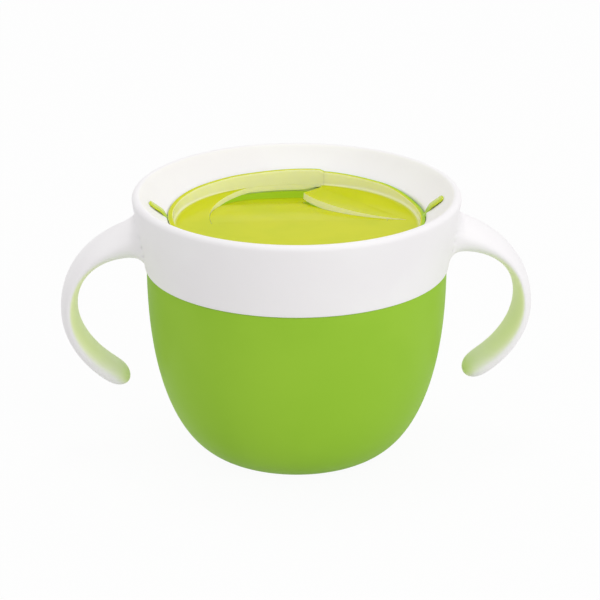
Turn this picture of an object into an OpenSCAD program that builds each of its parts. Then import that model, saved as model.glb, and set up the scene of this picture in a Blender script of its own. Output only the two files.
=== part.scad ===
// Toddler snack cup: a bowl-shaped cup, a push-on collar with two open handles,
// and a soft insert whose two flaps let a small hand in and keep the snacks from
// falling out. Millimetres. The origin is the centre of the cup's base, +Z is up,
// the handles lie along X and the flaps open towards the back, +Y.

/* [Cup] */
// Radius of the flat base
base_r = 19; // [15:0.5:22]
// Outer radius of the body at its shoulder
body_r = 42.7; // [38:0.1:46]
// Height of the shoulder above the base
body_h = 55.75; // [45:0.25:66]
// Roundness of the bowl at the base: a higher number fills out the lower corner
base_power = 2.22; // [1.7:0.01:2.4]
// Roundness of the bowl at the wall: a higher number makes the wall straighter
wall_power = 2.27; // [1.8:0.01:3]
// Wall thickness of the body
body_wall = 2.4; // [1.6:0.1:3]
// Width of the shoulder that the collar sits over
shoulder_w = 1.0; // [0.6:0.1:1.6]
// Wall thickness of the neck
neck_wall = 1.5; // [1.2:0.1:2]
// Height of the neck above the shoulder
neck_h = 14.5; // [12.5:0.25:15]
// Radius of the snap bead round the neck
bead_r = 0.45; // [0.2:0.05:0.6]
// Distance of the snap bead below the neck's edge
bead_drop = 3.5; // [2.5:0.1:5]

/* [Collar] */
// Height of the collar, from its lower edge to the centre of the rim's round
collar_h = 20; // [18.5:0.1:24]
// Thickness of the skirt at its lower edge
skirt_edge = 1.2; // [0.8:0.1:1.8]
// Wall thickness of the skirt under the rim
skirt_wall = 1.9; // [1.4:0.1:2.4]
// How far the rim leans out over the lower edge
rim_flare = 1.95; // [0.5:0.05:4]
// Radius of the rounded rim
rim_round = 1.5; // [1:0.1:2]
// Wall thickness of the funnel
funnel_wall = 1.8; // [1.4:0.1:2.2]
// Width of the ledge over the insert's edge, from the plug ring to the mouth
lip_w = 1.7; // [1.3:0.1:3]
// Depth of the mouth's edge below the rim's round
mouth_drop = 5.2; // [4:0.1:6]
// Wall thickness of the plug ring inside the neck
plug_wall = 1.6; // [1.2:0.1:2]
// Width of the bead that keeps the insert in its groove
keeper_w = 0.9; // [0.5:0.1:1.2]
// Height of that bead
keeper_h = 1.5; // [1:0.1:2.5]

/* [Handles] */
// Reach of a handle's centre line beyond the rim
handle_out = 18.5; // [14:0.1:24]
// Depth of the handle's root below the rim's round
root_drop = 11.1; // [9:0.1:12.5]
// Depth of the handle's outermost point below the rim's round
bow_drop = 31.8; // [26:0.1:36]
// Depth of the handle's tip below the rim's round
tip_drop = 54; // [48:0.5:58]
// How far the tip curls back towards the cup
tip_back = 16.9; // [10:0.1:19]
// Thickness at the root, in the middle and near the tip
root_t = 11.8; // [7:0.1:13]
bow_t = 4.7; // [3.5:0.1:7]
tip_t = 6.8; // [4:0.1:8]
// Width at the root, in the middle and near the tip
root_w = 17.7; // [12:0.1:20]
bow_w = 16.6; // [9:0.1:18]
tip_w = 13; // [9:0.1:16]

/* [Soft insert] */
// Thickness of the sheet and the flaps
sheet_t = 1.6; // [1.2:0.1:1.8]
// Depth of the sheet's top face below the rim's round
floor_drop = 8.2; // [7.6:0.1:9]
// Height of the insert's wall above the sheet, at the two sides
wall_h = 3.2; // [2.5:0.1:4]
// How much the wall's top rises towards the back, in degrees
wall_tilt = 2.3; // [1:0.1:3]
// How much lower the wall is beside the small flap
wall_step = 0.6; // [0:0.1:1]
// Thickness of the insert's wall
wall_t = 1.4; // [1:0.1:2]
// Width and thickness of the two tongues that lie up the funnel
tongue_w = 4.2; // [3:0.1:6]
tongue_t = 1.1; // [0.8:0.1:1.6]
// Length of a tongue up the funnel
tongue_l = 6.4; // [4:0.1:8]
// How far a tongue stands proud of the funnel
tongue_proud = 0.6; // [0.2:0.1:0.8]

/* [Flaps] */
// Width of the fixed ledge beside the large flap
side_ledge = 10.55; // [9:0.05:12]
// Width of the fixed ledge behind the large flap
back_ledge = 0.1; // [0.05:0.05:3]
// Radius of the large flap's curved side
large_r = 34.6; // [32:0.1:36]
// Distance behind the centre where that side bulges most
large_mid = 6.5; // [4:0.1:9]
// Distance of the large flap's hinge line behind the centre
large_hinge = 1.3; // [0:0.1:1.5]
// Distance of the hinge line's right-hand end from the insert's wall
hinge_end = 9.05; // [7.5:0.05:11]
// How far the large flap hangs at rest, in degrees
large_droop = 6.6; // [4:0.1:8]
// Radius of the small flap's curved free edge
small_r = 33.5; // [31:0.1:38]
// Direction of the middle of that edge from the centre
edge_dir = 45; // [43:0.5:47]
// Distance of the middle of that edge from the centre
edge_reach = 16.1; // [15.5:0.1:18]
// Direction of the small flap's hinge line from the centre
small_dir = 36.5; // [34:0.5:40]
// Width of the fixed ledge behind the small flap
small_ledge = 8.75; // [8:0.05:10]
// How far the small flap stands up at rest, in degrees
small_lift = 5; // [0:0.1:7]
// Distance of the small flap's tip from the insert's wall
tip_ledge = 10.35; // [9:0.05:12]
// Direction of the slit that runs on from that tip to the wall
slit_dir = 55; // [50:1:60]

/* [Clearances] */
// Between the collar's skirt and the neck, on the radius
skirt_gap = 0.25; // [0.15:0.05:0.4]
// Between the collar's lower edge and the shoulder
seat_gap = 0.25; // [0.1:0.05:0.5]
// Between the plug ring and the inside of the neck
plug_gap = 0.3; // [0.15:0.05:0.5]
// Round the soft insert in its groove and in the mouth
soft_gap = 0.15; // [0.05:0.05:0.3]
// Width of the slits round the flaps
slit = 0.35; // [0.3:0.05:0.6]
// Between a flap and the sheet at its hinge line
hinge_gap = 0.15; // [0.1:0.05:0.3]

/* [Hidden] */
$fn = 96;
eps = 0.01;
far = 200;                 // longer than anything here, for cutting half-planes
bowl_steps = 18;
path_steps = 14;           // rings in each half of a handle
ring_sides = 20;
root_turn = -3.8;          // slope of a handle's centre line where it starts
tip_turn = 20;             // and where it ends

neck_r = body_r - shoulder_w;
neck_in = neck_r - neck_wall;
neck_top = body_h + neck_h;
bead_z = neck_top - bead_drop;

skirt_z = body_h + seat_gap;
skirt_in = neck_r + skirt_gap;
skirt_r = skirt_in + skirt_edge;
rim_r = skirt_r + rim_flare;
rim_z = skirt_z + collar_h;
mouth_z = rim_z - mouth_drop;

floor_z = rim_z - floor_drop;
floor_under = floor_z - sheet_t;
plug_out = neck_in - plug_gap;
plug_in = plug_out - plug_wall;
mouth_r = plug_in - lip_w;
keeper_top = floor_under - soft_gap;
plug_z = keeper_top - keeper_h;
flange_r = plug_in - soft_gap;
wall_out = mouth_r - soft_gap;
wall_in = wall_out - wall_t;

hinge_z = floor_z - sheet_t / 2;
root_bevel = sheet_t / 2 * tan(50 + large_droop);   // room for a flap to turn 50 degrees

// Each flap's free edge is part of a circle
large_c = [large_r - wall_in + side_ledge, large_mid];
small_hinge = wall_in - small_ledge;
small_c = (edge_reach + small_r) * [cos(edge_dir), sin(edge_dir)];

// From the small flap's tip one slit runs on to the wall and through it
slit_corner = cross_point([0, 0], wall_in - tip_ledge, small_c, small_r);
slit_end = on_circle(slit_corner, slit_dir, wall_out + soft_gap / 2);
slit_azimuth = atan2(slit_end.y, slit_end.x);

// Where two circles cross, on the left of the way from the first to the second
function cross_point(c0, r0, c1, r1) =
    let (d = c1 - c0, l = norm(d), along = (l * l + r0 * r0 - r1 * r1) / (2 * l))
    c0 + along * d / l + sqrt(r0 * r0 - along * along) * [-d.y, d.x] / l;

// Where a line from p in the direction a leaves the circle of radius r about the centre
function on_circle(p, a, r) =
    let (v = [cos(a), sin(a)], b = p * v)
    p + (sqrt(b * b - p * p + r * r) - b) * v;

// ---- cup ----

// Radius of a bowl that leaves the floor at radius r0 and ends upright at radius r1,
// at the fraction u of its height
function bowl(u, r0, r1) =
    r0 + (r1 - r0) * pow(1 - pow(1 - u, wall_power), 1 / base_power);

// Steps are closer together near the floor, where the bowl turns most
function bowl_side(z0, z1, r0, r1) =
    [for (i = [0:bowl_steps]) let (u = pow(i / bowl_steps, 2))
        [bowl(u, r0, r1), z0 + (z1 - z0) * u]];

module neck_bead(r, round) {
    translate([r, bead_z]) circle(round);
}

module cup() {
    inner_r = body_r - body_wall;
    outside = bowl_side(0, body_h, base_r, body_r);
    inside = bowl_side(body_wall, body_h, base_r, min(inner_r, neck_in));
    color([0.57, 0.73, 0.24])
    rotate_extrude() {
        difference() {
            union() {
                polygon(concat([[0, 0]], outside, [[0, body_h]]));
                translate([0, body_h - eps]) square([neck_r, neck_h + eps]);
                neck_bead(neck_r, bead_r);
            }
            polygon(concat([[0, body_wall]], inside, [[neck_in, neck_top + 1], [0, neck_top + 1]]));
        }
    }
}

// ---- collar ----

// Where a line from p touches the circle at c, on the side given by +1 or -1
function touch(p, c, r, side) =
    let (d = c - p, a = atan2(d.y, d.x) + side * asin(r / norm(d)), l = sqrt(d * d - r * r))
    p + l * [cos(a), sin(a)];

rim_c = [rim_r, rim_z];
mouth_edge = [mouth_r, mouth_z];
skirt_touch = touch([skirt_r, skirt_z], rim_c, rim_round, -1);
funnel_touch = touch(mouth_edge, rim_c, rim_round, 1);
funnel_slope = atan2(funnel_touch.y - mouth_z, funnel_touch.x - mouth_r);
skirt_lean = (skirt_touch.x - skirt_r) / (skirt_touch.y - skirt_z);
under_drop = funnel_wall / cos(funnel_slope);

function funnel_at(r) = mouth_z + (r - mouth_r) * tan(funnel_slope);
function skirt_at(z) = skirt_r + (z - skirt_z) * skirt_lean;

channel_r = skirt_at(rim_z - rim_round) - skirt_wall;

// Outline of the collar with the neck's channel still filled in
module collar_blank() {
    polygon([
        [skirt_r, skirt_z], skirt_touch, rim_c, funnel_touch, mouth_edge,
        [mouth_r, floor_z + soft_gap],
        [plug_in, floor_z + soft_gap],
        [plug_in, keeper_top],
        [plug_in - keeper_w, keeper_top],
        [plug_in - keeper_w, keeper_top - keeper_h / 2],
        [plug_in, plug_z],
        [plug_out, plug_z],
        [plug_out, skirt_z]
    ]);
    translate(rim_c) circle(rim_round);
}

// The channel that takes the cup's neck, with a snap ridge under the neck's bead
module neck_channel() {
    difference() {
        polygon([
            [plug_out, skirt_z - 1],
            [skirt_in, skirt_z - 1],
            [skirt_in, skirt_z],
            [channel_r, funnel_at(channel_r) - under_drop],
            [plug_out, funnel_at(plug_out) - under_drop]
        ]);
        translate([neck_r + bead_r + skirt_gap + 2 * bead_r, bead_z - 2 * bead_r]) circle(2 * bead_r);
    }
}

function bezier(p, t) =
    pow(1 - t, 3) * p[0] + 3 * pow(1 - t, 2) * t * p[1] + 3 * (1 - t) * t * t * p[2] + pow(t, 3) * p[3];

// Centre line of the right-hand handle in the XZ plane: out from the collar,
// round the bow and back to the tip, where its points lie closer together
bow = [rim_r + rim_round + handle_out, rim_z - bow_drop];
root = [skirt_in + 1, rim_z - root_drop];
tip = [bow.x - tip_back, rim_z - tip_drop];
upper_pull = 0.61 * (root.y - bow.y);
lower_pull = 0.5 * (bow.y - tip.y);
tip_pull = 0.43 * tip_back;
upper = [root, root + upper_pull * [cos(root_turn), sin(root_turn)], bow + [0, upper_pull], bow];
lower = [bow, bow - [0, lower_pull], tip + tip_pull * [cos(tip_turn), sin(tip_turn)], tip];
center_line = concat(
    [for (i = [0:path_steps - 1]) bezier(upper, i / path_steps)],
    [for (i = [0:path_steps]) bezier(lower, 1 - pow(1 - i / path_steps, 1.7))]);
last_ring = len(center_line) - 1;

function along(i) = i <= 0 ? 0 : along(i - 1) + norm(center_line[i] - center_line[i - 1]);
handle_len = along(last_ring);

function mix(a, b, t) = a + (b - a) * t;
// A size that swells towards the root and goes from bow to tip over the lower half
function swell(s, at_root, at_bow, at_tip) =
    mix(at_bow, at_tip, max(0, 2 * s - 1)) + (at_root - at_bow) * pow(max(0, 1 - s / 0.37), 1.7);
// 1 along the handle, falling to 0 round the end of the tip
function tip_cap(s) =
    let (d = max(0, 1 - (1 - s) * handle_len / (tip_t * 0.8))) sqrt(max(0.0004, 1 - d * d));

function ring(i) =
    let (s = along(i) / handle_len,
         a = center_line[max(0, i - 1)], b = center_line[min(last_ring, i + 1)],
         d = (b - a) / norm(b - a), n = [-d.y, d.x], cap = tip_cap(s),
         half_t = cap * swell(s, root_t, bow_t, tip_t) / 2,
         half_w = pow(cap, 0.8) * swell(s, root_w, bow_w, tip_w) / 2)
    [for (k = [0:ring_sides - 1]) let (q = 360 * k / ring_sides, p = center_line[i] + half_t * cos(q) * n)
        [p.x, half_w * sin(q), p.y]];

module handle() {
    points = [for (i = [0:last_ring]) each ring(i)];
    sides = [for (i = [0:last_ring - 1], k = [0:ring_sides - 1])
        let (a = i * ring_sides + k, b = i * ring_sides + (k + 1) % ring_sides)
            each [[a, b, b + ring_sides], [a, b + ring_sides, a + ring_sides]]];
    ends = [[for (k = [ring_sides - 1:-1:0]) k], [for (k = [0:ring_sides - 1]) last_ring * ring_sides + k]];
    polyhedron(points, concat(sides, ends), convexity = 4);
}

// One tongue, lying up the funnel on the +X side, grown by a gap for its groove.
// It starts inside the insert's wall.
module tongue(gap) {
    straight = tongue_l - tongue_w / 2;
    translate([mouth_r, 0, mouth_z])
    rotate([0, -funnel_slope, 0])
    translate([0, 0, tongue_proud - tongue_t - gap])
    linear_extrude(tongue_t + 2 * gap) {
        translate([-wall_t, -tongue_w / 2 - gap]) square([straight + wall_t, tongue_w + 2 * gap]);
        translate([straight, 0]) circle(tongue_w / 2 + gap);
    }
}

module collar() {
    color([0.95, 0.95, 0.94])
    difference() {
        union() {
            rotate_extrude() collar_blank();
            handle();
            mirror([1, 0, 0]) handle();
        }
        rotate_extrude() neck_channel();
        tongue(soft_gap);
        mirror([1, 0, 0]) tongue(soft_gap);
    }
}

// ---- soft insert ----

// Plan of all that lies on the near side of a line across the direction a, at distance d
module near_side(a, d) {
    rotate(a) translate([d - far, -far / 2]) square(far);
}

// Plan of all that lies to the left of the slit between the small flap's tip and the wall
module left_of_slit() {
    translate(slit_corner) rotate(slit_dir) translate([-far / 2, 0]) square(far);
}

module slit_plan() {
    translate(slit_corner) rotate(slit_dir) translate([0, -slit / 2])
    square([norm(slit_end - slit_corner), slit]);
}

// Plan of the small flap: with no gap the hole in the sheet, with a gap the flap in it
module small_plan(gap) {
    is_hole = gap == 0;
    difference() {
        intersection() {
            translate(small_c) circle(small_r - gap);
            near_side(small_dir, small_hinge + (is_hole ? hinge_gap : 0));
        }
        translate((is_hole ? slit : -slit) * [-sin(slit_dir), cos(slit_dir)]) left_of_slit();
    }
}

// Plan of the large flap, in the same way: a curved side, the insert's wall behind,
// a straight hinge line in front, and the small flap cut out of its right-hand side
module large_plan(gap) {
    front = large_hinge - (gap == 0 ? hinge_gap : 0);
    difference() {
        intersection() {
            translate(large_c) circle(large_r - gap);
            circle(wall_in - back_ledge - gap);
            translate([wall_in - hinge_end - gap - far, front]) square(far);
        }
        difference() {
            translate(small_c) circle(small_r);
            left_of_slit();
        }
    }
}

// Wedges above and below a hinge line along Y, which leave the sheet only a middle
// edge there, so that a flap can turn both ways. The flap lies on the +X side.
module hinge_bevel() {
    for (side = [-1, 1])
        rotate([90, 0, 0])
        linear_extrude(far, center = true)
        polygon([[-1, 0], [0, 0], [root_bevel, side * (sheet_t / 2 + eps)], [-1, side * (sheet_t / 2 + eps)]]);
}

// All that lies above the wall's sloping top, lowered by a drop
module above_wall(drop) {
    translate([0, 0, wall_h - drop + eps])
    rotate([wall_tilt, 0, 0])
    translate([-far / 2, -far / 2, 0]) cube(far);
}

module tray_wall() {
    difference() {
        cylinder(h = 2 * wall_h, r = wall_out);
        translate([0, 0, -1]) cylinder(h = far, r = wall_in);
        above_wall(0);
        intersection() {
            above_wall(wall_step);
            rotate_extrude(angle = slit_azimuth) square([far, far]);
        }
        translate([0, 0, -1]) linear_extrude(far) slit_plan();
    }
}

module flap_insert() {
    color([0.75, 0.82, 0.2])
    difference() {
        union() {
            translate([0, 0, floor_under]) cylinder(h = sheet_t, r = flange_r);
            translate([0, 0, floor_z - eps]) tray_wall();
            tongue(0);
            mirror([1, 0, 0]) tongue(0);
        }
        translate([0, 0, floor_under - 1])
        linear_extrude(sheet_t + 2) {
            large_plan(0);
            small_plan(0);
            slit_plan();
        }
    }
}

module large_flap() {
    color([0.78, 0.81, 0.2])
    translate([0, large_hinge, hinge_z])
    rotate([-large_droop, 0, 0])
    difference() {
        translate([0, -large_hinge, -sheet_t / 2]) linear_extrude(sheet_t) large_plan(slit);
        rotate(90) hinge_bevel();
    }
}

module small_flap() {
    color([0.73, 0.79, 0.19])
    rotate(small_dir)
    translate([small_hinge, 0, hinge_z])
    rotate([0, small_lift, 0])
    difference() {
        translate([-small_hinge, 0, -sheet_t / 2]) rotate(-small_dir) linear_extrude(sheet_t) small_plan(slit);
        rotate(180) hinge_bevel();
    }
}

cup();
collar();
flap_insert();
large_flap();
small_flap();
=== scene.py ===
import math

import bmesh
import bpy
from mathutils import Matrix, Vector


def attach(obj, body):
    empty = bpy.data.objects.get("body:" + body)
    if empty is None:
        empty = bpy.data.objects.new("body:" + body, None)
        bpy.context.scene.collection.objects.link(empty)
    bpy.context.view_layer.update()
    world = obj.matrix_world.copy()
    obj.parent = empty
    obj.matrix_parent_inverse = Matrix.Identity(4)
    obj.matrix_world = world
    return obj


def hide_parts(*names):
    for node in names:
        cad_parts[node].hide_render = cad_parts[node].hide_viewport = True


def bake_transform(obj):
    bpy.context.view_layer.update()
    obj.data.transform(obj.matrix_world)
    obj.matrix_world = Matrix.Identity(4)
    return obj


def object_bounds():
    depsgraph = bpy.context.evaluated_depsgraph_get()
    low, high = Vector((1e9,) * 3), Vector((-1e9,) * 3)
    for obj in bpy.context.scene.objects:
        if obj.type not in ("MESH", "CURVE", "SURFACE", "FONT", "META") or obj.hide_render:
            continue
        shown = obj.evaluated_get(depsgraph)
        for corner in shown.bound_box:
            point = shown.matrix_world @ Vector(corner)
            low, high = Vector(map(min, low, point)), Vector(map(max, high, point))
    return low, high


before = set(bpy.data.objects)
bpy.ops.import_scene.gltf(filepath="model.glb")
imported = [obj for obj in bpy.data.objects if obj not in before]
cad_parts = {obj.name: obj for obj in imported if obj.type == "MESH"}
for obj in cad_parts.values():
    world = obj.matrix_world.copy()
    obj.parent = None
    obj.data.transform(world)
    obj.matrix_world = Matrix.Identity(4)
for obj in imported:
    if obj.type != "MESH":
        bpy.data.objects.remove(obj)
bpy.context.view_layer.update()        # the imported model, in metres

mm = 0.001               # the pieces are drawn in millimetres and scaled once at the end
mergeReach = 0.002       # vertices nearer to each other than this become one
print("frame loaded:", ", ".join(sorted(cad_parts)))


def mix(first, last, share):
    return first + (last - first) * share


# A share from 0 to 1 that leaves and arrives softly
def ease(share):
    return share * share * (3 - 2 * share)


def polar(radius, degrees, centre=(0, 0)):
    angle = math.radians(degrees)
    return Vector((centre[0] + radius * math.cos(angle), centre[1] + radius * math.sin(angle)))


# Points along an arc, both ends included
def arc(centre, radius, start, end, steps):
    return [polar(radius, mix(start, end, k / steps), centre) for k in range(steps + 1)]


def angleOf(point, centre=(0, 0)):
    return math.degrees(math.atan2(point[1] - centre[1], point[0] - centre[0]))


# Swaps each corner (x, z, cut) for two points, so that subdivision rounds it
def cutCorners(corners):
    points = []
    for k, (x, z, cut) in enumerate(corners):
        here = Vector((x, z))
        if cut == 0:
            points.append(here)
            continue
        for other in (corners[k - 1], corners[(k + 1) % len(corners)]):
            way = Vector(other[:2]) - here
            points.append(here + way.normalized() * cut)
    return points


# A row of vertices in the XZ plane joined by edges
def profileEdges(bm, points, closed):
    verts = [bm.verts.new((p[0], 0, p[1])) for p in points]
    pairs = list(zip(verts, verts[1:]))
    if closed:
        pairs.append((verts[-1], verts[0]))
    return verts + [bm.edges.new(pair) for pair in pairs]


def spinFull(bm, geometry, steps):
    bmesh.ops.spin(bm, geom=geometry, cent=(0, 0, 0), axis=(0, 0, 1), dvec=(0, 0, 0),
                   angle=math.tau, steps=steps, use_merge=True, use_duplicate=False)
    bmesh.ops.remove_doubles(bm, verts=bm.verts, dist=mergeReach)
    bmesh.ops.recalc_face_normals(bm, faces=bm.faces)


# Bevels the edges that turn by more than an angle, in degrees, and that keep() lets through
def roundEdges(bm, width, segments, sharpest, keep):
    limit = math.radians(sharpest)
    edges = [e for e in bm.edges if len(e.link_faces) == 2
             and e.calc_face_angle(0) > limit and keep(e)]
    bmesh.ops.bevel(bm, geom=edges, offset=width, offset_type="OFFSET", segments=segments,
                    profile=0.5, affect="EDGES", material=-1, clamp_overlap=True)


# Gives a flat outline its thickness, downwards, and returns the vertices underneath
def thicken(bm, depth):
    made = bmesh.ops.extrude_face_region(bm, geom=bm.faces[:])
    lower = [v for v in made["geom"] if isinstance(v, bmesh.types.BMVert)]
    bmesh.ops.translate(bm, vec=(0, 0, -depth), verts=lower)
    return lower


# The edges of a circle that has just been made, each once
def circleEdges(made):
    return list(dict.fromkeys(e for v in made["verts"] for e in v.link_edges))


# An oval ring across a line in the XZ plane; side is +1 or -1 along X
def addRing(bm, centre, way, halfThick, halfWide, sides, side):
    across = Vector((-way.y * side, 0, way.x))
    along = Vector((way.x * side, 0, way.y))
    place = Matrix((across, Vector((0, 1, 0)), along)).transposed().to_4x4()
    place.translation = Vector((centre.x * side, 0, centre.y))
    place = place @ Matrix.Diagonal((halfThick, halfWide, 1, 1))
    return circleEdges(bmesh.ops.create_circle(bm, cap_ends=False, segments=sides, radius=1,
                                               matrix=place))


# Turns the bmesh into a piece at the origin, in metres
def finishPiece(bm, name, subdivisions=0):
    bmesh.ops.remove_doubles(bm, verts=bm.verts, dist=mergeReach)
    bmesh.ops.recalc_face_normals(bm, faces=bm.faces)
    if bm.calc_volume(signed=True) < 0:        # a thin curled sheet can come out inside out
        bmesh.ops.reverse_faces(bm, faces=bm.faces)
    bmesh.ops.scale(bm, vec=(mm, mm, mm), verts=bm.verts)
    mesh = bpy.data.meshes.new(name)
    bm.to_mesh(mesh)
    bm.free()
    mesh.shade_smooth()
    piece = bpy.data.objects.new(name, mesh)
    bpy.context.collection.objects.link(piece)
    if subdivisions:
        modifier = piece.modifiers.new("smooth", "SUBSURF")
        modifier.levels = modifier.render_levels = subdivisions
    return piece


# A colour as it is written for a screen, as linear light
def screen(red, green, blue):
    def linear(value):
        share = value / 255
        return share / 12.92 if share <= 0.04045 else ((share + 0.055) / 1.055) ** 2.4
    return (linear(red), linear(green), linear(blue), 1)


white = screen(255, 255, 255)
black = screen(0, 0, 0)


# Wraps a node socket, so that maths on values is written as a sum
class Wire:
    def __init__(self, paint, socket):
        self.paint = paint
        self.socket = socket

    def maths(self, operation, other):
        return self.paint.node("ShaderNodeMath", {"operation": operation}, {0: self, 1: other})

    def __add__(self, other):
        return self.maths("ADD", other)

    def __mul__(self, other):
        return self.maths("MULTIPLY", other)

    __radd__ = __add__
    __rmul__ = __mul__


# A node tree that is filled one node at a time
class Paint:
    def __init__(self, owner):
        self.owner = owner
        owner.use_nodes = True
        self.tree = owner.node_tree
        self.tree.nodes.clear()

    # Settings are set first, then the sockets get their values or links
    def node(self, kind, settings=None, sockets=None, output=0):
        node = self.tree.nodes.new(kind)
        for key, value in (settings or {}).items():
            setattr(node, key, value)
        for key, value in (sockets or {}).items():
            if isinstance(value, Wire):
                self.tree.links.new(value.socket, node.inputs[key])
            else:
                node.inputs[key].default_value = value
        return Wire(self, node.outputs[output]) if node.outputs else None

    # The colour sockets of a Mix node are its numbers 6 and 7, and 2 on the way out
    def blendColour(self, factor, first, second):
        return self.node("ShaderNodeMix", {"data_type": "RGBA"},
                         {0: factor, 6: first, 7: second}, 2)

    def vectorMaths(self, operation, first, second=(0, 0, 0), output="Vector"):
        return self.node("ShaderNodeVectorMath", {"operation": operation}, {0: first, 1: second},
                         output)

    # The way out from the upright axis, and how far out that is
    def fromAxis(self, place):
        outwards = self.vectorMaths("MULTIPLY", place, (1, 1, 0))
        return outwards, self.vectorMaths("LENGTH", outwards, output="Value")

    def noise(self, place, scale, detail):
        return self.node("ShaderNodeTexNoise", None,
                         {"Vector": place, "Scale": scale, "Detail": detail})

    # A soft step from 0 at low to 1 at high
    def ramp(self, value, low, high):
        return self.node("ShaderNodeMapRange", {"clamp": True, "interpolation_type": "SMOOTHSTEP"},
                         {"Value": value, "From Min": low, "From Max": high})

    def bump(self, height, strength, depth):
        return self.node("ShaderNodeBump", None,
                         {"Height": height, "Strength": strength, "Distance": depth})

    def finish(self, shader):
        self.node("ShaderNodeOutputMaterial", None, {"Surface": shader})
        return self.owner


def newPaint(name):
    return Paint(bpy.data.materials.new(name))


# Lengths in the looks are in metres, as the nodes read them
satin = dict(
    refraction=1.49, roughVary=0.04,
    mottleDetail=3, mottleLow=0.35, mottleHigh=0.65,
    grainDetail=2, grainStrength=0.35, grainDepth=0.00002,
    hollowStart=0.002, hollowFade=0.006)
satinCup = dict(
    colour=screen(155, 201, 50), shade=screen(151, 198, 47),
    paintedLightColour=screen(153, 200, 48), glow=screen(198, 214, 48), paintedGlowLevel=0.36,
    hollowR=0.0, hollowTurn=-0.012,            # painted light: the tint and the glow fill the bowl's inside, for the light its thin wall lets in
    rough=0.5, shine=0.25, mottle=28, grain=2600)
satinCollar = dict(
    colour=screen(249, 247, 248), shade=screen(246, 243, 245),
    paintedLightColour=screen(248, 251, 205), glow=screen(238, 245, 170), paintedGlowLevel=0.05,
    hollowR=0.043, hollowTurn=-0.052,          # painted light: the green cup's light on the faces of the handles that look in at the cup
    rough=0.46, shine=0.5, mottle=30, grain=2400)


# Satin moulded plastic: a faint mottle and a fine spark-eroded grain. Faces that look
# towards the axis, from beyond hollowR, take a painted tint and a little painted glow, for the
# light that reaches them
def satinPlastic(name, look):
    paint = newPaint(name)
    place = paint.node("ShaderNodeTexCoord", output="Object")
    facing = paint.node("ShaderNodeNewGeometry", output="Normal")
    outwards, radius = paint.fromAxis(place)
    turned = paint.vectorMaths("DOT_PRODUCT", outwards, facing, "Value")
    # Painted light: a tint and a glow on faces that look towards the axis, beyond hollowR
    inside = paint.ramp(turned, satin["hollowStart"], look["hollowTurn"])
    hollow = inside * paint.ramp(radius, look["hollowR"], look["hollowR"] + satin["hollowFade"])
    mottle = paint.ramp(paint.noise(place, look["mottle"], satin["mottleDetail"]),
                        satin["mottleLow"], satin["mottleHigh"])
    grain = paint.noise(place, look["grain"], satin["grainDetail"])
    outer = paint.blendColour(mottle, look["colour"], look["shade"])
    shader = paint.node("ShaderNodeBsdfPrincipled", None, {
        "Base Color": paint.blendColour(hollow, outer, look["paintedLightColour"]),
        "Roughness": mottle * satin["roughVary"] + (look["rough"] + grain * satin["roughVary"]),
        "IOR": satin["refraction"],
        "Specular IOR Level": look["shine"],
        "Emission Color": paint.blendColour(hollow, black, look["glow"]),
        "Emission Strength": look["paintedGlowLevel"],
        "Normal": paint.bump(grain, satin["grainStrength"], satin["grainDepth"]),
    })
    return paint.finish(shader)


softRubber = dict(
    top=screen(208, 212, 18), deep=screen(200, 208, 14),         # the two shades of its flat faces
    cloud=60, cloudDetail=2, cloudLow=0.35, cloudHigh=0.7,
    side=screen(252, 252, 205), paintedPaleLow=0.12, paintedPaleHigh=0.45,     # painted pale light on cut edges and the inside of the wall
    edge=screen(165, 205, 40), edgeR=0.0357, paintedShadeFade=0.0006,    # painted green shade on the wall's crest and outside
    paintedShadeLean=0.014,                                              # brings the painted shade further in on the right
    leaf=screen(196, 212, 40), leafR=0.0368, leafFade=0.0015,    # the tongues
    rough=0.14, roughVary=0.04, refraction=1.4, shine=0.06,
    coatLow=0.03, coatHigh=0.14, coatRough=0.08,                 # clear gloss on turned faces only
    lightIn=0.4, lightColours=(1.0, 1.0, 0.15), lightDepth=0.0012,
    ripple=220, rippleDetail=1, rippleStrength=0.12, rippleDepth=0.0002)


# Soft see-through rubber: deep yellow on its flat faces; painted pale light where a face turns
# sideways, for the light it gathers there, and gloss; painted green shade round the wall's crest;
# lighter on the tongues
def softInsert(name, look):
    paint = newPaint(name)
    place = paint.node("ShaderNodeTexCoord", output="Object")
    side = paint.node("ShaderNodeAttribute", {"attribute_name": "sideways"}, output="Fac")
    radius = paint.fromAxis(place)[1]
    # Painted green shade round the wall's crest and outside, reaching further in on the right
    lean = paint.vectorMaths("DOT_PRODUCT", place, (look["paintedShadeLean"], 0, 0), "Value")
    outer = paint.ramp(radius + lean, look["edgeR"], look["edgeR"] + look["paintedShadeFade"])
    leaf = paint.ramp(radius, look["leafR"], look["leafR"] + look["leafFade"])
    # Painted pale light where a face turns sideways
    turned = paint.ramp(side, look["paintedPaleLow"], look["paintedPaleHigh"])
    cloud = paint.ramp(paint.noise(place, look["cloud"], look["cloudDetail"]),
                       look["cloudLow"], look["cloudHigh"])
    ripple = paint.noise(place, look["ripple"], look["rippleDetail"])
    top = paint.blendColour(cloud, look["top"], look["deep"])
    paintedLightColour = paint.blendColour(turned, top, look["side"])
    rim = paint.blendColour(leaf, look["edge"], look["leaf"])
    shader = paint.node("ShaderNodeBsdfPrincipled", None, {
        "Base Color": paint.blendColour(outer, paintedLightColour, rim),
        "Roughness": cloud * look["roughVary"] + look["rough"],
        "IOR": look["refraction"],
        "Specular IOR Level": look["shine"],
        "Coat Weight": paint.ramp(side, look["coatLow"], look["coatHigh"]),
        "Coat Roughness": look["coatRough"],
        "Coat IOR": look["refraction"],
        "Subsurface Weight": look["lightIn"],
        "Subsurface Radius": look["lightColours"],
        "Subsurface Scale": look["lightDepth"],
        "Normal": paint.bump(ripple, look["rippleStrength"], look["rippleDepth"]),
    })
    return paint.finish(shader)


cupPaint = satinPlastic("satin_green", satinCup)
collarPaint = satinPlastic("satin_white", satinCollar)
insertPaint = softInsert("soft_yellow_green", softRubber)
print("materials ready")


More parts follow.
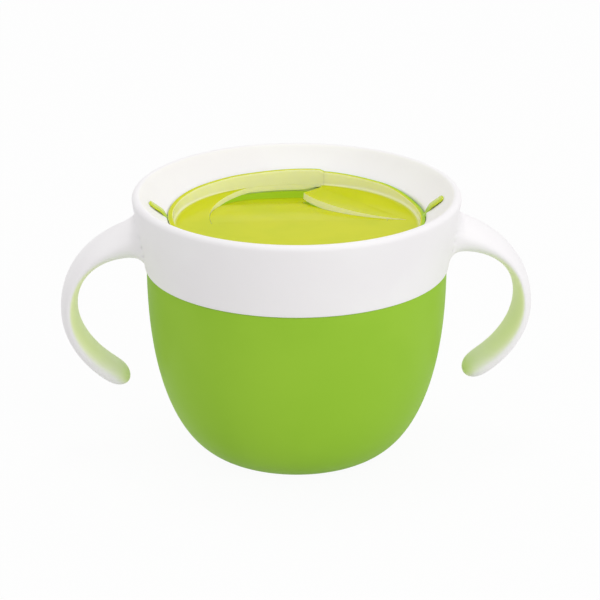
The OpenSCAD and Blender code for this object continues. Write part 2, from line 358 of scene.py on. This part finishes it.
cup = dict(
    baseR=19.0, bodyR=42.7, bodyH=55.75, bodyWall=2.4,     # foot, seam, height and wall of the bowl
    basePower=2.22, wallPower=2.27,                        # how full its curve is, low and high
    shoulder=1.0, neckWall=1.5, neckH=14.5,                # the neck that goes up into the collar
    beadR=0.45, beadDrop=3.5, beadSteps=6,                 # the bead that holds the collar
    recess=0.5, recessR=15.5,                              # the shallow recess under the base
    recessFlat=0.6, recessTurn=0.9,                        # shares of both where it turns down
    rows=34, steps=160, edge=0.25, edgeSegments=3, edgeSharpest=50, seamReach=0.01)


# Radius of the bowl at a share of its height
def bowlRadius(share, seamR):
    fullness = (1 - (1 - share) ** cup["wallPower"]) ** (1 / cup["basePower"])
    return mix(cup["baseR"], seamR, fullness)


# One face of the bowl from its foot to the seam, with its rows closest together at the foot
def bowlSide(footZ, seamR):
    shares = [(k / cup["rows"]) ** 2 for k in range(cup["rows"] + 1)]
    return [(bowlRadius(share, seamR), mix(footZ, cup["bodyH"], share)) for share in shares]


def buildCup():
    neckR = cup["bodyR"] - cup["shoulder"]
    neckIn = neckR - cup["neckWall"]
    neckTop = cup["bodyH"] + cup["neckH"]
    foot = [(0, cup["recess"]),
            (cup["recessR"] * cup["recessFlat"], cup["recess"] * cup["recessTurn"]),
            (cup["recessR"], 0)]
    bead = arc((neckR, neckTop - cup["beadDrop"]), cup["beadR"], -90, 90, cup["beadSteps"])
    outside = foot + bowlSide(0, cup["bodyR"]) + [(neckR, cup["bodyH"])] + bead + [(neckR, neckTop)]
    inside = [(neckIn, neckTop)] + bowlSide(cup["bodyWall"], neckIn)[::-1] + [(0, cup["bodyWall"])]
    bm = bmesh.new()
    spinFull(bm, profileEdges(bm, outside + inside, closed=False), cup["steps"])
    lowest = cup["bodyH"] - cup["seamReach"]
    roundEdges(bm, cup["edge"], cup["edgeSegments"], cup["edgeSharpest"],
               keep=lambda e: min(v.co.z for v in e.verts) > lowest)
    return finishPiece(bm, "cup_bowl")


cupPiece = buildCup()
cupPiece.data.materials.append(cupPaint)
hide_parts("cup")
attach(cupPiece, "cup")
print("cup:", len(cupPiece.data.polygons), "faces")


collar = dict(
    skirtZ=55.85, skirtIn=41.95, skirtR=43.15,                   # foot of the skirt
    skirtRows=(57.6, 59.3, 62.1, 64.9, 67.7, 70.5, 73.2),        # heights of its rows of faces
    rimR=45.03, rimZ=76.0, rimRound=1.5, rimStart=-6, rimSteps=7,
    rimInwards=0.64, rimUpwards=0.77,                            # where the funnel leaves the round
    mouthR=36.6, mouthZ=70.8, funnelWall=1.8,
    hollow=0.45, hollowRows=((42.4, 0.75), (40.3, 1), (38.2, 0.6)),    # radius, share of the dip
    lipUnder=67.95, plugIn=38.3, plugOut=39.9, plugZ=64.55,      # the ring that holds the insert
    keeperW=0.9, keeperTop=66.05,                                # and the keeper under its flange
    channelR=44.4,                                               # room for the cup's neck
    ridgeIn=0.45, ridgeZ=65.85, ridgeHalf=1.6, ridgeTopAt=0.62, ridgeFootAt=0.42,
    seamCut=0.25, mouthCut=0.35, grooveCut=0.15, smallCut=0.2, wideCut=0.3,
    steps=64, smooth=2)
handle = dict(
    out=18.5, rootDrop=11.1, bowDrop=31.8, tipDrop=54.0, tipBack=16.9, rootOut=1.0,
    thick=(11.8, 4.7, 6.8), wide=(17.7, 16.6, 13.0),             # at the root, the bow and the tip
    rootTurn=-3.8, tipTurn=20.0, upperPull=0.61, lowerPull=0.5, tipPull=0.43,
    swellAt=0.37, swellPower=1.7,                                # how the foot runs into the skirt
    capLength=0.8, capLeast=0.02, capPower=0.8, capRings=(0.45, 0.75, 0.92, 1.0),
    patchRows=(1, 5), patchHalf=2, patchDepth=3, patchFacing=0.5,    # the skirt's faces it replaces
    lineSteps=60, sides=16, firstRing=0.05, rings=15)


def bezier(points, share):
    rest = 1 - share
    return (rest ** 3 * points[0] + 3 * rest * rest * share * points[1]
            + 3 * rest * share * share * points[2] + share ** 3 * points[3])


# The handle's centre line in the XZ plane, as a dense row of points
def handleLine():
    rimZ = collar["rimZ"]
    bow = Vector((collar["rimR"] + collar["rimRound"] + handle["out"], rimZ - handle["bowDrop"]))
    root = Vector((collar["skirtIn"] + handle["rootOut"], rimZ - handle["rootDrop"]))
    tip = Vector((bow.x - handle["tipBack"], rimZ - handle["tipDrop"]))
    upperPull = handle["upperPull"] * (root.y - bow.y)
    lowerPull = handle["lowerPull"] * (bow.y - tip.y)
    tipPull = polar(handle["tipPull"] * handle["tipBack"], handle["tipTurn"])
    upper = [root, root + polar(upperPull, handle["rootTurn"]), bow + Vector((0, upperPull)), bow]
    lower = [bow, bow - Vector((0, lowerPull)), tip + tipPull, tip]
    shares = [k / handle["lineSteps"] for k in range(handle["lineSteps"])]
    return [bezier(upper, share) for share in shares] + \
           [bezier(lower, share) for share in shares + [1.0]]


# Each section of the handle as (centre, direction, half thickness, half width)
def handleSections():
    line = handleLine()
    lengths = [0.0]
    for before, after in zip(line, line[1:]):
        lengths.append(lengths[-1] + (after - before).length)
    whole = lengths[-1]
    capLength = handle["thick"][-1] * handle["capLength"]

    def swell(share, atRoot, atBow, atTip):
        foot = max(0, 1 - share / handle["swellAt"]) ** handle["swellPower"]
        return mix(atBow, atTip, max(0, 2 * share - 1)) + (atRoot - atBow) * foot

    def section(share):
        k = max(k for k in range(len(line) - 1) if lengths[k] <= share * whole)
        part = (share * whole - lengths[k]) / (lengths[k + 1] - lengths[k])
        inCap = max(0, 1 - (1 - share) * whole / capLength)
        cap = math.sqrt(max(handle["capLeast"], 1 - inCap * inCap))
        return (line[k].lerp(line[k + 1], part), (line[k + 1] - line[k]).normalized(),
                cap * swell(share, *handle["thick"]) / 2,
                cap ** handle["capPower"] * swell(share, *handle["wide"]) / 2)

    capStart = 1 - capLength / whole
    body = [mix(handle["firstRing"], capStart, k / handle["rings"])
            for k in range(handle["rings"] + 1)]
    end = [mix(capStart, 1, share) for share in handle["capRings"]]
    return [section(share) for share in body + end]


# Smoothing pulls a ring of points in to this share of its size
def smoothShrink(points):
    return (4 + 2 * math.cos(math.tau / points)) / 6


# Opens a patch in the skirt and sweeps a handle from it; side is +1 or -1 along X
def growHandle(bm, side):
    reach = collar["skirtR"] - handle["patchDepth"]
    patchWide = handle["patchHalf"] * math.tau * collar["skirtR"] / collar["steps"]
    lowZ, highZ = [collar["skirtRows"][row] for row in handle["patchRows"]]

    def inPatch(face):
        middle = face.calc_center_median()
        return (middle.x * side > reach and face.normal.x * side > handle["patchFacing"]
                and abs(middle.y) < patchWide and lowZ < middle.z < highZ)

    patch = [face for face in bm.faces if inPatch(face)]
    ring = [e for face in patch for e in face.edges
            if sum(neighbour in patch for neighbour in e.link_faces) == 1]
    bmesh.ops.delete(bm, geom=patch, context="FACES_ONLY")    # its edges still guide the smoothing
    grow = 1 / smoothShrink(handle["sides"])
    for centre, way, halfThick, halfWide in handleSections():
        nextRing = addRing(bm, centre, way, halfThick * grow, halfWide * grow,
                           handle["sides"], side)
        bmesh.ops.bridge_loops(bm, edges=ring + nextRing)
        ring = nextRing
    bmesh.ops.edgeloop_fill(bm, edges=ring)


def buildCollar():
    skirtR, skirtIn, skirtZ = collar["skirtR"], collar["skirtIn"], collar["skirtZ"]
    rimR, rimZ, rimRound = collar["rimR"], collar["rimZ"], collar["rimRound"]
    mouthR, mouthZ, lipUnder = collar["mouthR"], collar["mouthZ"], collar["lipUnder"]
    plugIn, plugOut, plugZ = collar["plugIn"], collar["plugOut"], collar["plugZ"]
    keeperIn, keeperTop = plugIn - collar["keeperW"], collar["keeperTop"]
    channelR, ridgeZ, ridgeHalf = collar["channelR"], collar["ridgeZ"], collar["ridgeHalf"]
    smallCut, wideCut = collar["smallCut"], collar["wideCut"]
    lean = (rimR + rimRound - skirtR) / (rimZ - skirtZ)
    slope = math.atan2(rimZ + rimRound * collar["rimUpwards"] - mouthZ,
                       rimR - rimRound * collar["rimInwards"] - mouthR)
    under = collar["funnelWall"] / math.cos(slope)

    def funnelZ(radius):
        return mouthZ + (radius - mouthR) * math.tan(slope)

    rim = arc((rimR, rimZ), rimRound, collar["rimStart"], 90 + math.degrees(slope),
              collar["rimSteps"])
    corners = [(skirtR, skirtZ, collar["seamCut"])]
    corners += [(skirtR + (z - skirtZ) * lean, z, 0) for z in collar["skirtRows"]]
    corners += [(*point, 0) for point in rim]
    corners += [(radius, funnelZ(radius) - collar["hollow"] * dip, 0)
                for radius, dip in collar["hollowRows"]]
    corners += [
        (mouthR, mouthZ, collar["mouthCut"]),
        (mouthR, lipUnder, smallCut),
        (plugIn, lipUnder, smallCut),
        (plugIn, keeperTop, collar["grooveCut"]),
        (keeperIn, keeperTop, smallCut),
        (keeperIn, (keeperTop + plugZ) / 2, smallCut),
        (plugIn, plugZ, smallCut),
        (plugOut, plugZ, wideCut),
        (plugOut, funnelZ(plugOut) - under, wideCut),
        (channelR, funnelZ(channelR) - under, wideCut),
        (mix(skirtIn, channelR, collar["ridgeTopAt"]), ridgeZ + ridgeHalf, smallCut),
        (skirtIn + collar["ridgeIn"], ridgeZ, collar["seamCut"]),
        (mix(skirtIn, channelR, collar["ridgeFootAt"]), ridgeZ - ridgeHalf, smallCut),
        (skirtIn, skirtZ, wideCut),
    ]
    bm = bmesh.new()
    spinFull(bm, profileEdges(bm, cutCorners(corners), closed=True), collar["steps"])
    grow = 1 / smoothShrink(collar["steps"])
    bmesh.ops.scale(bm, vec=(grow, grow, 1), verts=bm.verts)
    for side in (1, -1):
        growHandle(bm, side)
    return finishPiece(bm, "collar_with_handles", subdivisions=collar["smooth"])


collarPiece = buildCollar()
collarPiece.data.materials.append(collarPaint)
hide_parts("collar")
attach(collarPiece, "lid")
print("collar:", len(collarPiece.data.polygons), "faces")


insert = dict(
    floorZ=67.8, sheet=1.6, flangeR=38.15,                 # the flat sheet: top, thickness, radius
    wallIn=35.05, wallOut=36.45, wallH=4.0, wallRoot=0.3,  # the wall that stands up round it
    footRound=1.4, footSteps=7, wallRound=0.3, roundSteps=3,
    steps=160, edge=0.12, edgeSegments=2, edgeSharpest=60, wallReach=0.001,
    # azimuth of a place on the wall, height of its top there, share of the foot's round
    wall=((75, 71.9, 0.6), (45, 71.4, 1), (12, 70.0, 1), (-40, 69.4, 1), (-90, 69.3, 1),
          (-150, 69.8, 0.9), (-180, 71.0, 0.9), (-225, 71.6, 0.7), (-248, 71.9, 0.05),
          (-284, 72.5, 0.05)))
slits = dict(
    direction=55.0, wall=0.05, past=0.4,                   # the slit that runs out through the wall
    ledge=0.1,                                             # what stays of the sheet along the wall
    taper=7.0, taperRise=1.25, ledgeReach=0.02,            # the ledge thins towards that slit
    cornerSteps=8)                                         # arc between the two flaps' right ends
largeFlap = dict(
    middle=(10.1, 6.5), edgeR=34.6,                        # the arc of its free edge at the left
    rightEnd=26.0, hinge=1.3, slit=0.09,                   # its hinge line is this far back
    drop=4.1, curl=1.8, lip=0, edge=0.3, backSteps=24, sideSteps=44, frontSteps=28)
smallFlap = dict(
    edgeDirection=45.0, edgeReach=16.1, edgeR=33.5,        # the arc of its free edge
    tipR=24.7,                                             # its tip, where the slit starts
    direction=36.5, hinge=26.3, slit=0.12,                 # its hinge line is this far out
    drop=-1.15, curl=1.15, lip=0.35, edge=0.12, edgeSteps=40)
# Rows of faces lie closest together over the first millimetres from each flap's hinge line
bend = dict(reach=3.0, rows=6, curlRows=12, edgeSegments=3, edgeSharpest=60, cutReach=0.0001)
tongue = dict(
    path=((36.0, 69.2), (36.8, 70.2), (37.4, 71.4), (38.0, 72.4),      # from the wall up the funnel
          (38.9, 73.1), (40.0, 73.9), (41.0, 74.65), (41.6, 75.05)),
    thick=0.9, neckW=3.3, leafW=4.1, leafAt=0.62, sides=16, rings=20, ringPower=1.6,
    capShare=5, capLeast=0.03, capPower=0.6, wayReach=0.05)


# Where a line from a point in a direction, in degrees, leaves a circle
def leaveCircle(point, degrees, radius, centre=(0, 0)):
    way = polar(1, degrees)
    offset = Vector(point) - Vector(centre)
    back = way.dot(offset)
    reach = math.sqrt(back * back - offset.length_squared + radius * radius) - back
    return Vector(point) + way * reach


# Where two circles cross, on the left of the way from the first to the second
def crossCircles(first, firstR, second, secondR):
    between = Vector(second) - Vector(first)
    along = (between.length_squared + firstR * firstR - secondR * secondR) / (2 * between.length)
    way = between.normalized()
    left = Vector((-way.y, way.x))
    return Vector(first) + way * along + left * math.sqrt(firstR * firstR - along * along)


# Points round a circle from one point of it to another, anticlockwise
def arcBetween(centre, first, last, steps):
    start, end = angleOf(first, centre), angleOf(last, centre)
    radius = (first - Vector(centre)).length
    return arc(centre, radius, start, start + (end - start) % 360, steps)


# Left of the slit by a distance, or right of it if that is negative
def besideSlit(point, distance):
    return point + distance * polar(1, slits["direction"] + 90)


# Each flap's hinge line goes through its point, square to the way into the flap
largePoint, largeWay = Vector((0, largeFlap["hinge"])), Vector((0, 1))
smallPoint = polar(smallFlap["hinge"], smallFlap["direction"])
smallWay = -polar(1, smallFlap["direction"])

# The small flap's free edge is an arc round edgeCentre; the slit starts at its tip
edgeCentre = polar(smallFlap["edgeReach"] + smallFlap["edgeR"], smallFlap["edgeDirection"])
tipPoint = crossCircles((0, 0), smallFlap["tipR"], edgeCentre, smallFlap["edgeR"])
slitRight = besideSlit(tipPoint, -slits["wall"] / 2)
slitLeft = besideSlit(tipPoint, slits["wall"] / 2)
ledgeR = insert["wallIn"] - slits["ledge"]


# Where a line along the slit meets the small flap's hinge line
def slitOnHinge(point):
    away, way = -smallWay, polar(1, slits["direction"])
    return point + way * ((smallFlap["hinge"] - point.dot(away)) / way.dot(away))


# Right-hand end of the small flap's hinge line, on its free edge
def hingeRight(radius):
    return leaveCircle(smallPoint, smallFlap["direction"] - 90, radius, edgeCentre)


# The small flap's free edge where it crosses a line along Y
def onSmallEdge(x):
    return Vector((x, edgeCentre.y - math.sqrt(smallFlap["edgeR"] ** 2 - (x - edgeCentre.x) ** 2)))


# The free edge of the large flap, anticlockwise from the slit's end at the wall
def backEdge(gap, wallEnd):
    middle, hinge = Vector(largeFlap["middle"]), largeFlap["hinge"]
    radius = largeFlap["edgeR"] - gap
    corner = crossCircles((0, 0), ledgeR - gap, middle, radius)
    hingeLeft = Vector((middle.x - math.sqrt(radius ** 2 - (hinge - middle.y) ** 2), hinge))
    back = arcBetween((0, 0), wallEnd, corner, largeFlap["backSteps"])
    return back + arcBetween(middle, corner, hingeLeft, largeFlap["sideSteps"])[1:]


def largeOutline(gap):
    right = onSmallEdge(largeFlap["rightEnd"] - gap)
    wallEnd = leaveCircle(tipPoint, slits["direction"], ledgeR - gap)
    front = arcBetween(edgeCentre, tipPoint, right, largeFlap["frontSteps"])[::-1]
    return [Vector((right.x, largeFlap["hinge"]))] + front + backEdge(gap, wallEnd)


def smallOutline(gap):
    radius = smallFlap["edgeR"] - gap
    start = besideSlit(tipPoint, -gap)
    back = -leaveCircle(-start, slits["direction"], radius, -edgeCentre)
    edge = arcBetween(edgeCentre, back, hingeRight(radius), smallFlap["edgeSteps"])
    return [slitOnHinge(start)] + edge


# Outline of the opening that both flaps fill, with the slit out through the wall
def openingOutline():
    corner = onSmallEdge(largeFlap["rightEnd"])
    end = insert["wallOut"] + slits["past"]
    rightSide = arcBetween(edgeCentre, corner, hingeRight(smallFlap["edgeR"]),
                           slits["cornerSteps"])
    slitSides = [slitOnHinge(slitRight), leaveCircle(slitRight, slits["direction"], end),
                 leaveCircle(slitLeft, slits["direction"], end)]
    wallEnd = leaveCircle(slitLeft, slits["direction"], ledgeR)
    return [Vector((corner.x, largeFlap["hinge"]))] + rightSide + slitSides + backEdge(0, wallEnd)


def onLine(point, way, edge, reach=0.05):
    return all(abs((v.co.xy - point).dot(way)) < reach for v in edge.verts)


# How far each face turns sideways, for the painted pale light on the rubber's edges
def markSides(mesh):
    marks = mesh.attributes.new("sideways", "FLOAT", "FACE")
    for mark, face in zip(marks.data, mesh.polygons):
        mark.value = 1 - abs(face.normal.z)


def flatShading(piece, sharpest=50, weight=80):
    piece.data.set_sharp_from_angle(angle=math.radians(sharpest))
    modifier = piece.modifiers.new("flat_faces", "WEIGHTED_NORMAL")
    modifier.keep_sharp = True
    modifier.weight = weight


# A flap that leaves its hinge level and curls down by its drop at the far edge, or up
# if that is negative. It gets thicker by its lip on the way there
def buildFlap(name, outline, point, way, flap):
    sheet = insert["sheet"]
    bm = bmesh.new()
    bm.faces.new([bm.verts.new((p.x, p.y, 0)) for p in outline])
    span = max((p - point).dot(way) for p in outline)
    rows = [bend["reach"] * k / bend["rows"] for k in range(1, bend["rows"] + 1)]
    rows += [mix(bend["reach"], span, k / bend["curlRows"]) for k in range(1, bend["curlRows"])]
    for reach in rows:
        row = point + way * reach
        bmesh.ops.bisect_plane(bm, geom=bm.verts[:] + bm.edges[:] + bm.faces[:],
                               dist=bend["cutReach"], plane_co=(row.x, row.y, 0),
                               plane_no=(way.x, way.y, 0))
    thicken(bm, sheet)
    bmesh.ops.recalc_face_normals(bm, faces=bm.faces)
    roundEdges(bm, flap["edge"], bend["edgeSegments"], bend["edgeSharpest"],
               keep=lambda e: not onLine(point, way, e))
    for v in bm.verts:
        share = max(0, (v.co.xy - point).dot(way) / span)
        steepness = flap["drop"] * flap["curl"] * share ** (flap["curl"] - 1) / span
        lean = (v.co.z + sheet / 2) * steepness
        if v.co.z < -sheet / 2:
            v.co.z -= flap["lip"] * share
        drop = flap["drop"] * share ** flap["curl"]
        v.co += Vector((way.x * lean, way.y * lean, insert["floorZ"] - drop))
    piece = finishPiece(bm, name)
    markSides(piece.data)
    flatShading(piece)
    return piece


# Height of the wall's top and share of its foot's round at an azimuth
def wallAt(azimuth):
    stops = insert["wall"]
    here = stops[0][0] - (stops[0][0] - azimuth) % 360
    for before, after in zip(stops, stops[1:]):
        if after[0] <= here <= before[0]:
            share = ease((before[0] - here) / (before[0] - after[0]))
            return mix(before[1], after[1], share), mix(before[2], after[2], share)
    return stops[-1][1:]


# The upstanding wall, spun from the slit's left side round to its right
def buildWall():
    inR, outR, floorZ = insert["wallIn"], insert["wallOut"], insert["floorZ"]
    foot, top, wallH = insert["footRound"], insert["wallRound"], insert["wallH"]
    crestZ, baseZ = floorZ + wallH - top, floorZ - insert["wallRoot"]
    right, left = [angleOf(leaveCircle(side, slits["direction"], (inR + outR) / 2))
                   for side in (slitRight, slitLeft)]
    section = arc((inR - foot, floorZ + foot), foot, -90, 0, insert["footSteps"])
    section += arc((inR + top, crestZ), top, 180, 90, insert["roundSteps"])
    section += arc((outR - top, crestZ), top, 90, 0, insert["roundSteps"])
    section += [(outR, baseZ), (inR - foot, baseZ)]
    bm = bmesh.new()
    start = profileEdges(bm, section, closed=True)
    bmesh.ops.rotate(bm, cent=(0, 0, 0), matrix=Matrix.Rotation(math.radians(left), 3, "Z"),
                     verts=bm.verts)
    made = bmesh.ops.spin(bm, geom=start, cent=(0, 0, 0), axis=(0, 0, 1), dvec=(0, 0, 0),
                          angle=math.radians(360 - (left - right)), steps=insert["steps"],
                          use_merge=False, use_duplicate=False)
    for end in (start, made["geom_last"]):
        edges = [e for e in end if isinstance(e, bmesh.types.BMEdge)]
        bmesh.ops.edgeloop_fill(bm, edges=edges)
    for v in bm.verts:
        height, share = wallAt(angleOf(v.co.xy))
        inside = inR - v.co.xy.length
        if inside > insert["wallReach"]:             # the foot's round, out over the sheet
            v.co.xy *= (inR - inside * share) / v.co.xy.length
            if v.co.z > floorZ:
                v.co.z = mix(floorZ, v.co.z, share)
        elif v.co.z > floorZ + wallH / 2:            # the crest
            v.co.z = mix(floorZ, height, (v.co.z - floorZ) / wallH)
        elif v.co.z > floorZ:                        # the round's upper end on the wall
            v.co.z = floorZ + foot * share
    return bm


# A smooth curve through points; place counts the points
def throughPoints(points, place):
    k = min(int(place), len(points) - 2)
    a, b = points[max(0, k - 1)], points[k]
    c, d = points[k + 1], points[min(len(points) - 1, k + 2)]
    u = place - k
    return 0.5 * (2 * b + (c - a) * u + (2 * a - 5 * b + 4 * c - d) * u * u
                  + (3 * b - a - 3 * c + d) * u ** 3)


# A tongue that leaves the wall and lies up the funnel; side is +1 or -1 along X
def buildTongue(side):
    bm = bmesh.new()
    path = [Vector(p) for p in tongue["path"]]
    whole = len(path) - 1
    ring = []
    for k in range(tongue["rings"] + 1):
        share = 1 - (1 - k / tongue["rings"]) ** tongue["ringPower"]
        place = share * whole
        ahead = throughPoints(path, min(whole, place + tongue["wayReach"]))
        behind = throughPoints(path, max(0, place - tongue["wayReach"]))
        inCap = max(0, 1 - (1 - share) * tongue["capShare"])
        cap = math.sqrt(max(tongue["capLeast"], 1 - inCap ** 2))
        wide = mix(tongue["neckW"], tongue["leafW"], ease(min(1, share / tongue["leafAt"]))) * cap
        thick = tongue["thick"] * cap ** tongue["capPower"]
        nextRing = addRing(bm, throughPoints(path, place), (ahead - behind).normalized(),
                           thick / 2, wide / 2, tongue["sides"], side)
        if ring:
            bmesh.ops.bridge_loops(bm, edges=ring + nextRing)
        else:
            bmesh.ops.edgeloop_fill(bm, edges=nextRing)
        ring = nextRing
    bmesh.ops.edgeloop_fill(bm, edges=ring)
    return bm


# Fuses closed parts into the first one and welds the slivers that this leaves
def fuse(body, parts):
    for part in parts:
        modifier = body.modifiers.new("fuse", "BOOLEAN")
        modifier.operation = "UNION"
        modifier.solver = "EXACT"
        modifier.object = part
    graph = bpy.context.evaluated_depsgraph_get()
    mesh = bpy.data.meshes.new_from_object(body.evaluated_get(graph))
    body.modifiers.clear()
    bm = bmesh.new()
    bm.from_mesh(mesh)
    bmesh.ops.remove_doubles(bm, verts=bm.verts, dist=2 * mergeReach * mm)
    bmesh.ops.dissolve_degenerate(bm, edges=bm.edges, dist=mergeReach * mm)
    bm.to_mesh(mesh)
    bm.free()
    body.data = mesh
    mesh.name = body.name
    for part in parts:
        bpy.data.objects.remove(part)


# The ledge gets thinner from below towards the slit in the wall
def thinAtSlit(lower):
    wallEnd = leaveCircle(slitLeft, slits["direction"], ledgeR)
    for v in lower:
        if abs(v.co.xy.length - ledgeR) < slits["ledgeReach"]:
            near = max(0, 1 - (v.co.xy - wallEnd).length / slits["taper"])
            v.co.z += slits["taperRise"] * ease(near)


# The sheet round the flaps' opening, with its wall and the two tongues
def buildInsert():
    bm = bmesh.new()
    hole = [bm.verts.new((p.x, p.y, insert["floorZ"])) for p in openingOutline()]
    holeEdges = [bm.edges.new(pair) for pair in zip(hole, hole[1:] + hole[:1])]
    made = bmesh.ops.create_circle(bm, cap_ends=False, segments=insert["steps"],
                                   radius=insert["flangeR"],
                                   matrix=Matrix.Translation((0, 0, insert["floorZ"])))
    bmesh.ops.triangle_fill(bm, use_beauty=True, use_dissolve=False,
                            edges=holeEdges + circleEdges(made))
    thinAtSlit(thicken(bm, insert["sheet"]))
    bmesh.ops.recalc_face_normals(bm, faces=bm.faces)
    roundEdges(bm, insert["edge"], insert["edgeSegments"], insert["edgeSharpest"],
               keep=lambda e: not onLine(largePoint, largeWay, e)
               and not onLine(smallPoint, smallWay, e))
    sheet = finishPiece(bm, "soft_insert")
    wall = finishPiece(buildWall(), "wall")
    tongues = [finishPiece(buildTongue(side), "tongue") for side in (1, -1)]
    fuse(sheet, [wall] + tongues)
    sheet.data.shade_smooth()
    markSides(sheet.data)
    flatShading(sheet)
    return sheet


insertPiece = buildInsert()
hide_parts("flap_insert")
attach(insertPiece, "lid")

largePiece = buildFlap("large_hand_flap", largeOutline(largeFlap["slit"]), largePoint, largeWay,
                       largeFlap)
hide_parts("large_flap")

smallPiece = buildFlap("small_hand_flap", smallOutline(smallFlap["slit"]), smallPoint, smallWay,
                       smallFlap)
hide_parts("small_flap")

for piece, body, point, way in ((largePiece, "large_flap", largePoint, largeWay),
                                (smallPiece, "small_flap", smallPoint, smallWay)):
    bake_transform(piece)
for piece in (insertPiece, largePiece, smallPiece):
    piece.data.materials.clear()
    piece.data.materials.append(insertPaint)
    print(piece.name, len(piece.data.polygons), "faces")


view = dict(
    distance=769.0, azimuth=-3.3, elevation=18.75,         # from the front, a little to the left
    aim=(0, 0, 76.0), pitch=2.18, yaw=-0.07,               # turned, so that the aim sits higher up
    lens=163.3, sensor=36, nearClip=0.01)


def addCamera():
    azimuth, elevation = math.radians(view["azimuth"]), math.radians(view["elevation"])
    back = Vector((math.sin(azimuth) * math.cos(elevation),
                   -math.cos(azimuth) * math.cos(elevation), math.sin(elevation)))
    camera = bpy.data.objects.new("camera", bpy.data.cameras.new("camera"))
    camera.data.lens = view["lens"]
    camera.data.sensor_width = view["sensor"]
    camera.data.clip_start = view["nearClip"]
    camera.location = (Vector(view["aim"]) + back * view["distance"]) * mm
    look = (-back).to_track_quat("-Z", "Y").to_matrix().to_4x4()
    yaw = Matrix.Rotation(math.radians(view["yaw"]), 4, "Y")
    pitch = Matrix.Rotation(-math.radians(view["pitch"]), 4, "X")
    camera.matrix_world = Matrix.Translation(camera.location) @ look @ yaw @ pitch
    bpy.context.collection.objects.link(camera)
    bpy.context.scene.camera = camera


# Places and sizes of the studio are in metres
studio = dict(
    white=1.0, fill=0.735,                     # the backdrop as it is seen, and what it lights
    floorSize=4, floorDrop=0.0002, floorShade=0.8, floorGlow=0.95,
    lamps=dict(key=dict(place=(0.8, -0.9, 0.5), size=(0.9, 0.9), power=3.7),
               top=dict(place=(0, 0.1, 1.3), size=(0.35, 0.35), power=2.75)),
    lampAim=(0, 0, 0.05))


# 1 for what the camera sees, straight or in a shine or through something, and 0 for light
def seenDirectly(paint):
    straight, shine, through = [paint.node("ShaderNodeLightPath", output=ray) for ray in
                                ("Is Camera Ray", "Is Glossy Ray", "Is Transmission Ray")]
    return paint.node("ShaderNodeClamp", None, {"Value": straight + shine + through})


# White to the camera and in reflections, a plain level of light for everything else
def lightWorld():
    world = bpy.data.worlds.new("studio")
    bpy.context.scene.world = world
    paint = Paint(world)
    lit, seen = [paint.node("ShaderNodeBackground", None,
                            {"Color": white, "Strength": studio[level]})
                 for level in ("fill", "white")]
    mixed = paint.node("ShaderNodeMixShader", None, {0: seenDirectly(paint), 1: lit, 2: seen})
    paint.node("ShaderNodeOutputWorld", None, {"Surface": mixed})


# Nearly as white as the backdrop where it is seen, so that only a faint shadow shows
def addFloor():
    bm = bmesh.new()
    bmesh.ops.create_grid(bm, x_segments=1, y_segments=1, size=studio["floorSize"])
    mesh = bpy.data.meshes.new("floor")
    bm.to_mesh(mesh)
    bm.free()
    floor = bpy.data.objects.new("floor", mesh)
    floor.location.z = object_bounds()[0].z - studio["floorDrop"]
    bpy.context.collection.objects.link(floor)
    paint = newPaint("floor_white")
    shade = (studio["floorShade"],) * 3 + (1,)
    matte = paint.node("ShaderNodeBsdfDiffuse", None, {"Color": shade})
    glow = paint.node("ShaderNodeEmission", None, {"Color": white, "Strength": studio["white"]})
    share = seenDirectly(paint) * studio["floorGlow"]
    mesh.materials.append(paint.finish(paint.node("ShaderNodeMixShader", None,
                                                  {0: share, 1: matte, 2: glow})))


def addSoftbox(name, place, size, power):
    lamp = bpy.data.lights.new(name, "AREA")
    lamp.shape = "RECTANGLE"
    lamp.size, lamp.size_y = size
    lamp.energy = power
    softbox = bpy.data.objects.new(name, lamp)
    softbox.location = place
    aim = Vector(studio["lampAim"]) - Vector(place)
    softbox.rotation_euler = aim.to_track_quat("-Z", "Y").to_euler()
    bpy.context.collection.objects.link(softbox)


addCamera()
lightWorld()
addFloor()
for name, lamp in studio["lamps"].items():
    addSoftbox(name, **lamp)
bpy.context.scene.view_settings.view_transform = "Standard"
print("camera, lights and floor ready")
